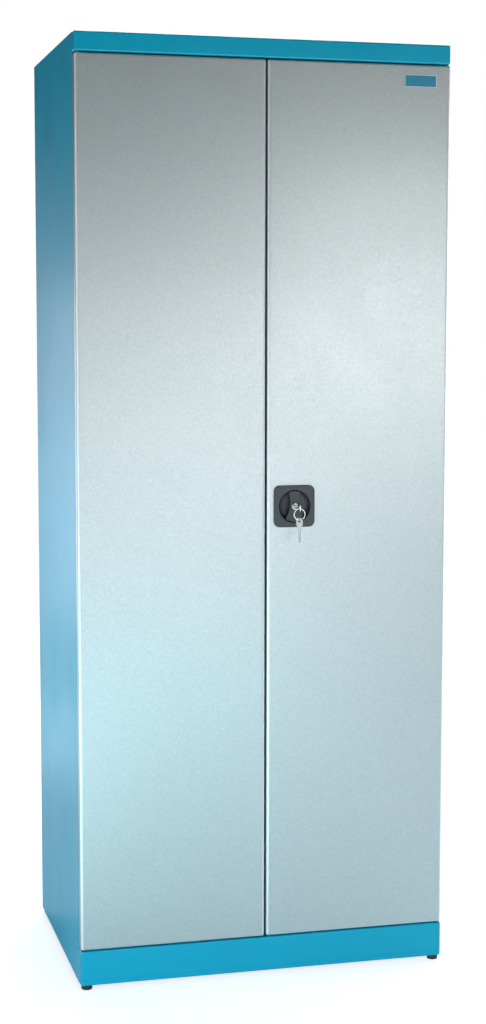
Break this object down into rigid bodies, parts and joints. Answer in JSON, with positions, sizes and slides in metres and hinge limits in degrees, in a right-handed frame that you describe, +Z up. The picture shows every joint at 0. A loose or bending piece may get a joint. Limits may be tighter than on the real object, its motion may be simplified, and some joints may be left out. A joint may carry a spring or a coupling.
{
  "type": "tool cabinet",
  "caption": "Tall two-door steel tool cabinet with shelves on slotted uprights, pivoted lay-on doors and a turning handle that drives locking rods",
  "frame": {"origin": "centre of the cabinet's footprint on the floor, the keys in front counted in", "axes": "+Z up, the doors face -Y, +X to the right as seen from the front"},
  "size_m": [0.79, 0.5986, 1.95],
  "materials": {
    "blue_powder_coat": "blue powder coat, satin",
    "silver_hammer_paint": "silver-grey hammer paint, satin with a fine sparkle",
    "galvanised_sheet": "galvanised sheet, dull",
    "zinc_plated_steel": "bright zinc plate",
    "nickel_plate": "nickel plate, bright",
    "charcoal_moulding": "charcoal moulded plastic, matt",
    "black_nylon": "black moulded nylon, matt",
    "blue_label_plate": "bare blue plate, semi-gloss"
  },
  "bodies": {
    "cabinet": {"left_side_panel": "blue_powder_coat", "right_side_panel": "blue_powder_coat", "back_panel": "blue_powder_coat", "roof_panel": "blue_powder_coat", "floor_panel": "blue_powder_coat", "crown_rail": "blue_powder_coat", "plinth_rail": "blue_powder_coat", "rear_base_rail": "blue_powder_coat", "left_front_foot": "black_nylon", "left_rear_foot": "black_nylon", "right_front_foot": "black_nylon", "right_rear_foot": "black_nylon", "left_front_upright": "galvanised_sheet", "left_rear_upright": "galvanised_sheet", "right_front_upright": "galvanised_sheet", "right_rear_upright": "galvanised_sheet", "shelf_1": "galvanised_sheet", "shelf_2": "galvanised_sheet", "shelf_3": "galvanised_sheet", "shelf_4": "galvanised_sheet", "shelf_1_left_bearer": "galvanised_sheet", "shelf_1_right_bearer": "galvanised_sheet", "shelf_2_left_bearer": "galvanised_sheet", "shelf_2_right_bearer": "galvanised_sheet", "shelf_3_left_bearer": "galvanised_sheet", "shelf_3_right_bearer": "galvanised_sheet", "shelf_4_left_bearer": "galvanised_sheet", "shelf_4_right_bearer": "galvanised_sheet", "left_door_top_bush": "black_nylon", "left_door_bottom_bush": "black_nylon", "right_door_top_bush": "black_nylon", "right_door_bottom_bush": "black_nylon"},
    "left_door": {"left_door_panel": "silver_hammer_paint", "left_door_stiffener": "silver_hammer_paint", "left_door_top_pivot": "zinc_plated_steel", "left_door_bottom_pivot": "zinc_plated_steel"},
    "right_door": {"right_door_panel": "silver_hammer_paint", "right_door_stiffener": "silver_hammer_paint", "right_door_top_pivot": "zinc_plated_steel", "right_door_bottom_pivot": "zinc_plated_steel", "handle_plate": "charcoal_moulding", "handle_backplate": "zinc_plated_steel", "name_plate": "blue_label_plate", "upper_rod_guide": "zinc_plated_steel", "lower_rod_guide": "zinc_plated_steel"},
    "handle": {"handle_grip": "charcoal_moulding", "lock_barrel": "nickel_plate", "handle_spindle": "zinc_plated_steel", "rod_cam": "zinc_plated_steel", "locking_tongue": "zinc_plated_steel"},
    "upper_rod": {"upper_rod": "zinc_plated_steel"},
    "lower_rod": {"lower_rod": "zinc_plated_steel"},
    "key": {"key": "nickel_plate", "lock_plug": "nickel_plate"},
    "key_ring": {"key_ring": "nickel_plate"},
    "spare_key": {"spare_key": "nickel_plate"}
  },
  "joints": [
    {"name": "left_door_swing", "type": "hinge", "parent": "cabinet", "child": "left_door", "pos_m": [-0.387, -0.24266, 1], "axis": [0, 0, -1], "range_deg": [0, 120]},
    {"name": "right_door_swing", "type": "hinge", "parent": "cabinet", "child": "right_door", "pos_m": [0.387, -0.24266, 1], "axis": [0, 0, 1], "range_deg": [0, 120]},
    {"name": "handle_turn", "type": "hinge", "parent": "right_door", "child": "handle", "pos_m": [0.0595, -0.25566, 0.999], "axis": [0, 1, 0], "range_deg": [0, 90]},
    {"name": "upper_rod_slide", "type": "slide", "parent": "right_door", "child": "upper_rod", "axis": [0, 0, 1], "range_m": [0, 0.0199]},
    {"name": "lower_rod_slide", "type": "slide", "parent": "right_door", "child": "lower_rod", "axis": [0, 0, -1], "range_m": [0, 0.0199]},
    {"name": "key_turn", "type": "hinge", "parent": "handle", "child": "key", "pos_m": [0.0595, -0.25966, 0.999], "axis": [0, 1, 0], "range_deg": [0, 90]},
    {"name": "key_ring_swing", "type": "hinge", "parent": "key", "child": "key_ring", "pos_m": [0.0595, -0.29216, 0.99725], "axis": [0, 1, 0], "range_deg": [-25, 25]},
    {"name": "spare_key_swing", "type": "hinge", "parent": "key_ring", "child": "spare_key", "pos_m": [0.0595, -0.29216, 0.97405], "axis": [0, 1, 0], "range_deg": [-15, 15]}
  ],
  "couplings": [
    {"joint": "upper_rod_slide", "follows": "handle_turn", "m_per_rad": 0.012605},
    {"joint": "lower_rod_slide", "follows": "handle_turn", "m_per_rad": 0.012605}
  ]
}
